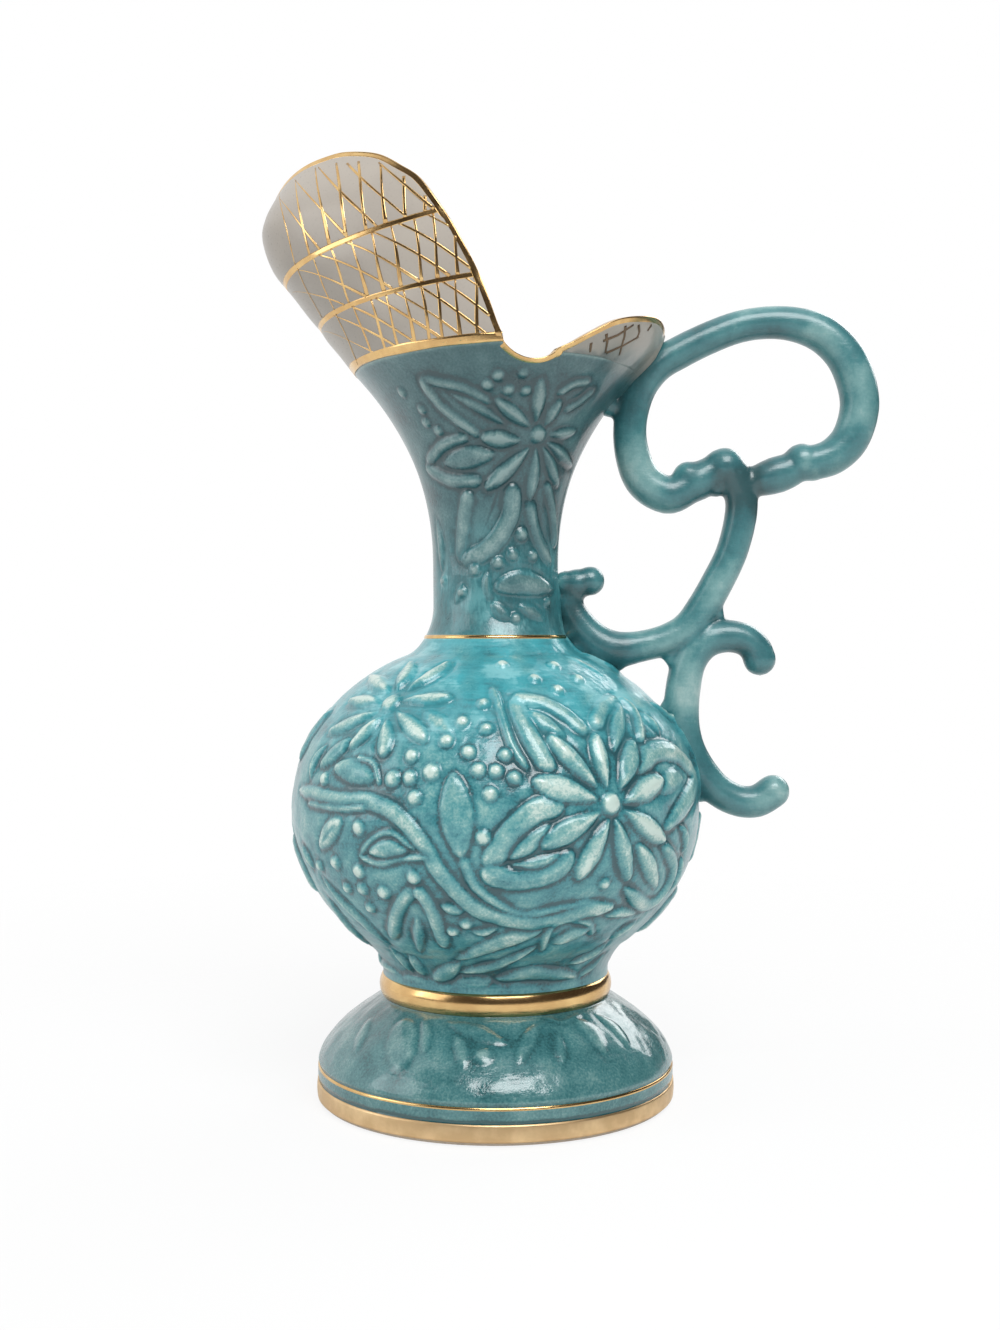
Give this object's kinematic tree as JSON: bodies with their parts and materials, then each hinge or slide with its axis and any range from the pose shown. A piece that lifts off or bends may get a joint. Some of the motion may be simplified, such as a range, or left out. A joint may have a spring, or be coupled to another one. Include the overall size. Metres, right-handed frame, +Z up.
{
  "type": "ornamental ewer",
  "caption": "Footed earthenware ewer with a round belly, trumpet neck, tall pouring tongue, openwork scroll handle, raised flower sprigs and gilt bands.",
  "frame": {"origin": "on the body's axis, at the flat ring that the foot stands on", "axes": "+Z up along the body's axis, +X towards the handle, -X towards the spout"},
  "size_m": [0.1597, 0.1076, 0.2379],
  "materials": {
    "turquoise_glaze": "gloss glaze, pooled",
    "pale_glaze": "gloss glaze",
    "gilding": "bright gold lustre"
  },
  "bodies": {
    "root": {"foot": "turquoise_glaze", "belly": "turquoise_glaze", "neck": "turquoise_glaze", "spout": "pale_glaze", "back_lip": "pale_glaze", "handle_upper_loop": "turquoise_glaze", "handle_inner_knuckle": "turquoise_glaze", "handle_outer_knuckle": "turquoise_glaze", "handle_main_scroll": "turquoise_glaze", "handle_lower_scroll": "turquoise_glaze", "foot_rim_gilding": "gilding", "foot_line_gilding": "gilding", "waist_gilding": "gilding", "neck_line_gilding": "gilding", "spout_base_gilding": "gilding", "spout_middle_gilding": "gilding", "spout_upper_gilding": "gilding", "mouth_rim_gilding": "gilding", "belly_blooms": "turquoise_glaze", "belly_sepals": "turquoise_glaze", "belly_leaves": "turquoise_glaze", "belly_berries": "turquoise_glaze", "belly_vine": "turquoise_glaze", "neck_blooms": "turquoise_glaze", "neck_leaves": "turquoise_glaze", "neck_berries": "turquoise_glaze", "foot_lappets": "turquoise_glaze"}
  },
  "joints": []
}
